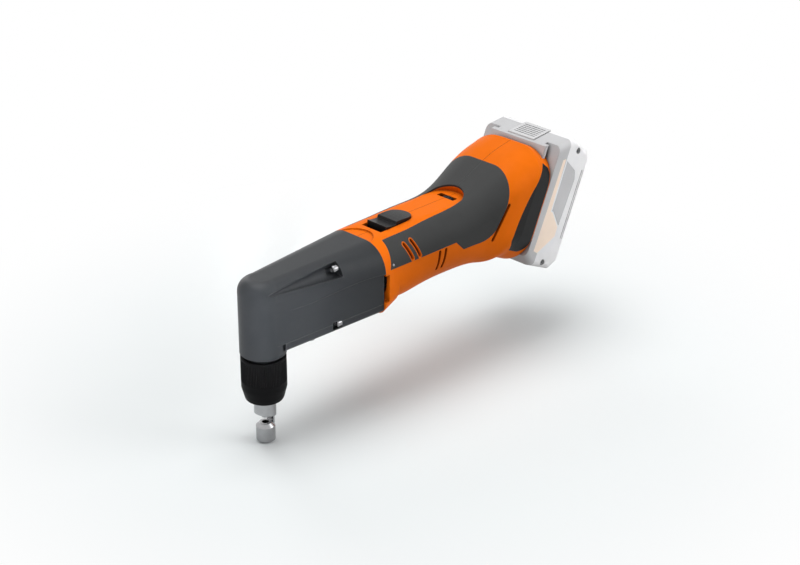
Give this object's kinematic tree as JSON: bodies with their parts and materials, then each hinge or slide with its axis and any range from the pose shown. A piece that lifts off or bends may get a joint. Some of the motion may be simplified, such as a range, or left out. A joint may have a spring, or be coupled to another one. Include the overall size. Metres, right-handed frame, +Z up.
{
  "type": "cordless nibbler",
  "caption": "Cordless nibbler: cast angle head with punch and die in a clamping sleeve, split motor shell with soft grip, slider switch, speed dial and slide-on battery pack.",
  "frame": {"origin": "on the punch axis at the lower end of the die's tip, where the tool meets the sheet", "axes": "+Z up along the punch axis, +X back along the motor to the battery pack, +Y to the left when the tool is seen from its front end"},
  "size_m": [0.3236, 0.076, 0.1624],
  "materials": {
    "cast_housing": "semi-gloss",
    "tool_steel": "polished",
    "drive_steel": "ground",
    "bright_screw": "bright",
    "black_sleeve": "blackened",
    "bronze": "satin",
    "flange_metal": "cast",
    "lamination": "satin",
    "copper": "satin",
    "orange_shell": "satin",
    "soft_grip": "matt",
    "black_plastic": "fine grain",
    "circuit": "matt",
    "pack_front": "fine grain",
    "pack_rear": "fine grain",
    "pack_stripe": "satin",
    "cell_wrap": "satin",
    "holder_plastic": "matt"
  },
  "bodies": {
    "housing": {"gear_housing": "cast_housing", "gear_case_lid": "cast_housing", "lid_screws": "bright_screw", "head_screws": "bright_screw", "guide_bush": "bronze", "sleeve_snap_ring": "drive_steel", "locking_balls": "drive_steel", "front_shaft_bearing": "drive_steel", "rear_shaft_bearing": "drive_steel", "bearing_spacer": "drive_steel", "ring_gear": "drive_steel", "motor_flange": "flange_metal", "motor_front_bearing": "drive_steel", "motor_end_bearing": "drive_steel", "stator_core": "lamination", "stator_windings": "copper", "right_motor_shell": "orange_shell", "left_motor_shell": "orange_shell", "right_grip": "soft_grip", "left_grip": "soft_grip", "right_foot_insert": "black_plastic", "left_foot_insert": "black_plastic", "shell_screws": "bright_screw", "switch_module": "black_plastic", "dial_potentiometer": "black_plastic", "control_board": "circuit", "terminal_block": "black_plastic", "tool_contacts": "copper"},
    "rotor": {"rotor_shaft": "drive_steel", "rotor_core": "lamination", "fan": "black_plastic", "sun_pinion": "drive_steel"},
    "eccentric": {"eccentric_shaft": "drive_steel", "eccentric_roller": "drive_steel", "planet_carrier": "drive_steel", "planet_pins": "drive_steel"},
    "planet_1": {"planet_gear_1": "drive_steel"},
    "planet_2": {"planet_gear_2": "drive_steel"},
    "planet_3": {"planet_gear_3": "drive_steel"},
    "plunger": {"plunger": "drive_steel", "punch": "tool_steel"},
    "die": {"die": "tool_steel"},
    "sleeve": {"clamp_sleeve": "black_sleeve"},
    "switch": {"switch_slider": "black_plastic", "switch_rod": "black_plastic"},
    "dial": {"speed_dial": "black_plastic"},
    "pack": {"pack_front_shell": "pack_front", "pack_base_shell": "pack_rear", "pack_cells": "cell_wrap", "cell_holders": "holder_plastic", "pack_board": "circuit", "pack_contacts": "copper", "pack_side_stripes": "pack_stripe", "latch_spring": "drive_steel"},
    "button": {"release_button": "pack_rear", "pack_latch": "black_plastic"}
  },
  "joints": [
    {"name": "rotor_turn", "type": "hinge", "parent": "housing", "child": "rotor", "pos_m": [0, 0, 0.103], "axis": [1, 0, 0], "range_deg": [0, 810]},
    {"name": "eccentric_turn", "type": "hinge", "parent": "housing", "child": "eccentric", "pos_m": [0, 0, 0.103], "axis": [1, 0, 0], "range_deg": [0, 180.01]},
    {"name": "planet_1_turn", "type": "hinge", "parent": "eccentric", "child": "planet_1", "pos_m": [0, 0.01215, 0.103], "axis": [1, 0, 0], "range_deg": [-504.05, 0]},
    {"name": "planet_2_turn", "type": "hinge", "parent": "eccentric", "child": "planet_2", "pos_m": [0, -0.00607, 0.11352], "axis": [1, 0, 0], "range_deg": [-504.05, 0]},
    {"name": "planet_3_turn", "type": "hinge", "parent": "eccentric", "child": "planet_3", "pos_m": [0, -0.00607, 0.09248], "axis": [1, 0, 0], "range_deg": [-504.05, 0]},
    {"name": "plunger_slide", "type": "slide", "parent": "housing", "child": "plunger", "axis": [0, 0, -1], "range_m": [0, 0.005]},
    {"name": "die_turn", "type": "hinge", "parent": "housing", "child": "die", "pos_m": [0, 0, 0], "axis": [0, 0, 1], "range_deg": [-180, 180]},
    {"name": "sleeve_turn", "type": "hinge", "parent": "housing", "child": "sleeve", "pos_m": [0, 0, 0], "axis": [0, 0, 1], "range_deg": [0, 60]},
    {"name": "switch_slide", "type": "slide", "parent": "housing", "child": "switch", "axis": [-1, 0, 0], "range_m": [0, 0.005]},
    {"name": "dial_turn", "type": "hinge", "parent": "housing", "child": "dial", "pos_m": [0.186, 0, 0.1232], "axis": [1, 0, 0], "range_deg": [0, 260]},
    {"name": "pack_slide", "type": "slide", "parent": "housing", "child": "pack", "axis": [0.4147, 0, 0.91], "range_m": [0, 0.06]},
    {"name": "button_press", "type": "slide", "parent": "pack", "child": "button", "axis": [-0.4147, 0, -0.91], "range_m": [0, 0.003], "stiffness_N_per_m": 800, "springref_m": -0.002, "deforming": ["latch_spring"]}
  ],
  "couplings": [
    {"joint": "eccentric_turn", "follows": "plunger_slide", "rad_per_m": 628.31},
    {"joint": "rotor_turn", "follows": "plunger_slide", "rad_per_m": 2827.4},
    {"joint": "planet_1_turn", "follows": "plunger_slide", "rad_per_m": -1759.3},
    {"joint": "planet_2_turn", "follows": "plunger_slide", "rad_per_m": -1759.3},
    {"joint": "planet_3_turn", "follows": "plunger_slide", "rad_per_m": -1759.3}
  ]
}
